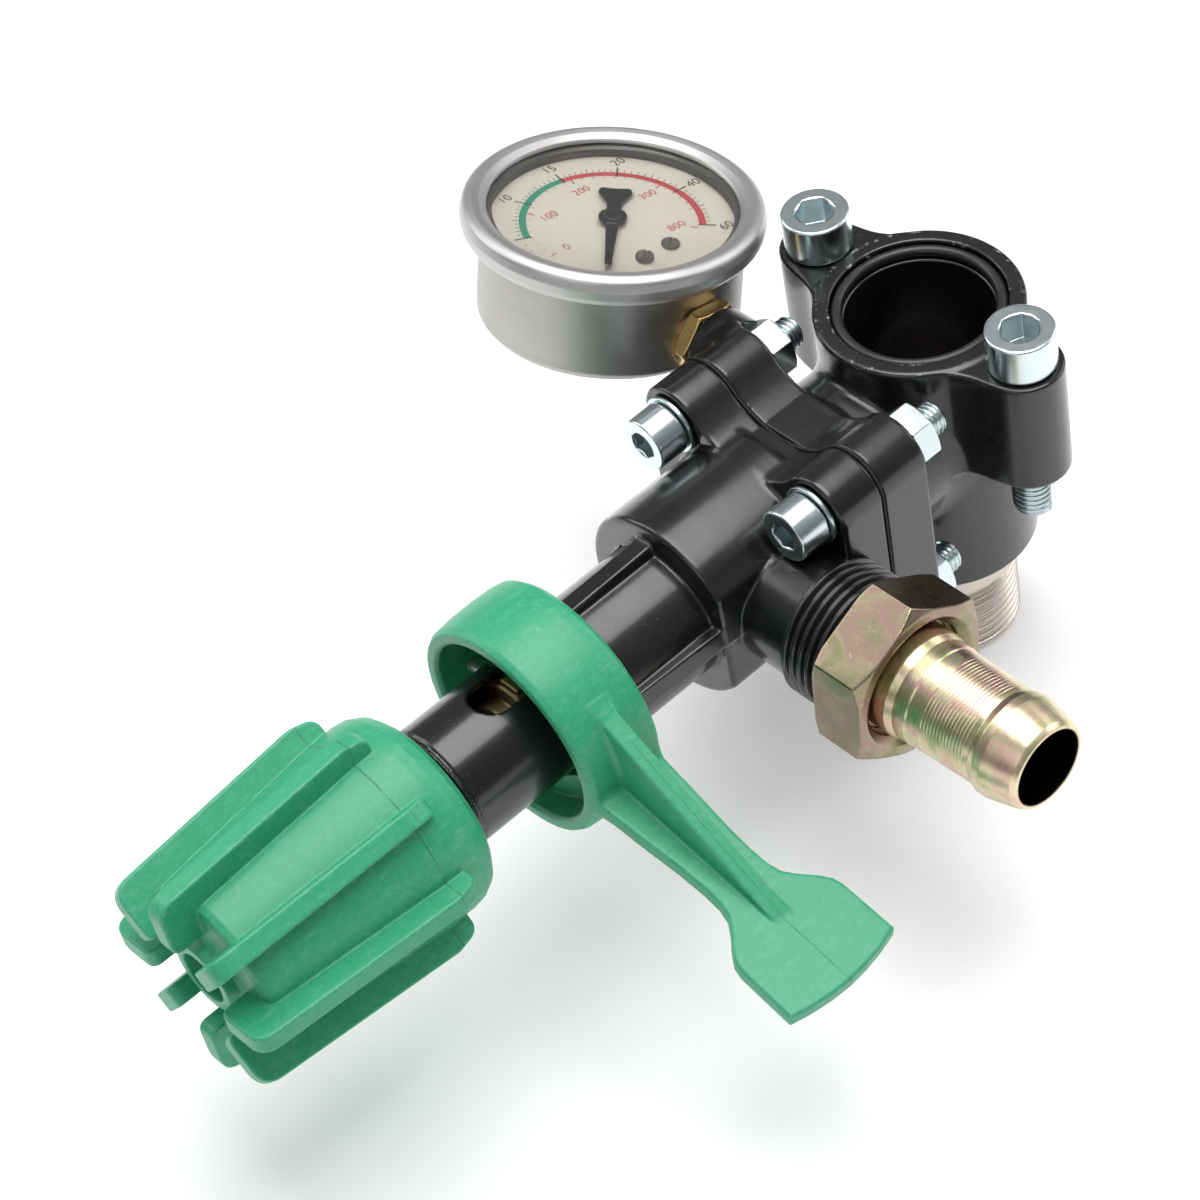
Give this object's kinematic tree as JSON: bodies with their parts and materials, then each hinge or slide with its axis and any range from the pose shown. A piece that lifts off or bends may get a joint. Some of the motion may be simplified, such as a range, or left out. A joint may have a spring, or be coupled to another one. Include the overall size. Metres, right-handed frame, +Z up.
{
  "type": "pressure regulating valve",
  "caption": "Spring-loaded pressure regulating valve with bypass lever, finned pressure knob, two-bolt inlet ring, threaded outlet, hose tail union and a liquid-filled pressure gauge.",
  "frame": {"origin": "centre of the bounding box's bottom face, level with the outlet nipple's open end", "axes": "+Z up along the inlet ring's axis; +X towards the hose tail, along the hose union's axis; -Y towards the knob, along the valve's axis"},
  "size_m": [0.2012, 0.248, 0.1223],
  "materials": {
    "black_casting": "glossy black lacquer over an aluminium casting",
    "green_plastic": "satin moulded nylon",
    "zinc_steel": "bright blue-white zinc plate",
    "yellow_zinc": "yellow passivated zinc plate, lightly scratched",
    "nickel_brass": "satin nickel plate",
    "brass": "machined",
    "bright_steel": "ground",
    "stainless": "brushed case with a polished bezel",
    "rubber": "smooth",
    "gasket_fibre": "pressed fibre",
    "glass": "clear",
    "dial_face": "matt cream print",
    "needle_black": "satin black"
  },
  "bodies": {
    "housing": {"manifold_body": "black_casting", "valve_bonnet": "black_casting", "bonnet_gasket": "gasket_fibre", "bonnet_screw_1": "zinc_steel", "bonnet_screw_2": "zinc_steel", "bonnet_screw_3": "zinc_steel", "bonnet_screw_4": "zinc_steel", "bonnet_washer_1": "zinc_steel", "bonnet_washer_2": "zinc_steel", "bonnet_washer_3": "zinc_steel", "bonnet_washer_4": "zinc_steel", "bonnet_nut_1": "zinc_steel", "bonnet_nut_2": "zinc_steel", "bonnet_nut_3": "zinc_steel", "bonnet_nut_4": "zinc_steel", "ring_screw_left": "zinc_steel", "ring_screw_right": "zinc_steel", "inlet_oring": "rubber", "outlet_nipple": "nickel_brass", "valve_seat": "bright_steel", "main_spring": "bright_steel", "union_gasket": "rubber", "gauge_case": "stainless", "gauge_bezel": "stainless", "gauge_window": "glass", "window_gasket": "rubber", "gauge_dial": "dial_face", "dial_screw_1": "needle_black", "dial_screw_2": "needle_black", "gauge_movement": "brass", "gauge_stem": "brass", "bourdon_tube": "brass", "gauge_plug": "rubber"},
    "poppet": {"valve_poppet": "bright_steel", "poppet_oring": "rubber", "spring_plate": "bright_steel"},
    "lever": {"bypass_lever": "green_plastic"},
    "sleeve": {"adjusting_sleeve": "black_casting", "cam_pin_left": "bright_steel", "cam_pin_right": "bright_steel", "knob_seal": "rubber"},
    "knob": {"pressure_knob": "green_plastic", "knob_nut": "zinc_steel", "spindle": "brass"},
    "nut": {"spring_nut": "brass"},
    "union": {"union_nut": "yellow_zinc"},
    "tail": {"hose_tail": "yellow_zinc"},
    "needle": {"gauge_pointer": "needle_black"}
  },
  "joints": [
    {"name": "lever_turn", "type": "hinge", "parent": "housing", "child": "lever", "pos_m": [0.00455, -0.0228, 0.0723], "axis": [0, -1, 0], "range_deg": [0, 95]},
    {"name": "sleeve_lift", "type": "slide", "parent": "housing", "child": "sleeve", "axis": [0, -1, 0], "range_m": [0, 0.006], "deforming": ["main_spring"]},
    {"name": "knob_turn", "type": "hinge", "parent": "sleeve", "child": "knob", "pos_m": [0.00455, -0.09, 0.0723], "axis": [0, 1, 0], "range_deg": [-900, 900]},
    {"name": "nut_travel", "type": "slide", "parent": "sleeve", "child": "nut", "axis": [0, 1, 0], "range_m": [-0.0075, 0.0075], "deforming": ["main_spring"]},
    {"name": "poppet_lift", "type": "slide", "parent": "housing", "child": "poppet", "axis": [0, -1, 0], "range_m": [0, 0.003], "stiffness_N_per_m": 8000, "deforming": ["main_spring"]},
    {"name": "union_turn", "type": "hinge", "parent": "housing", "child": "union", "pos_m": [0.05655, 0.0347, 0.0723], "axis": [1, 0, 0], "continuous": true},
    {"name": "tail_swivel", "type": "hinge", "parent": "housing", "child": "tail", "pos_m": [0.07955, 0.0347, 0.0723], "axis": [1, 0, 0], "continuous": true},
    {"name": "needle_turn", "type": "hinge", "parent": "housing", "child": "needle", "pos_m": [-0.06555, 0.0726, 0.1129], "axis": [0, -0.2521, -0.9677], "range_deg": [0, 266], "stiffness_Nm_per_rad": 0.0001}
  ],
  "couplings": [
    {"joint": "lever_turn", "follows": "sleeve_lift", "rad_per_m": 276.34},
    {"joint": "nut_travel", "follows": "knob_turn", "m_per_rad": 0.00047746}
  ]
}
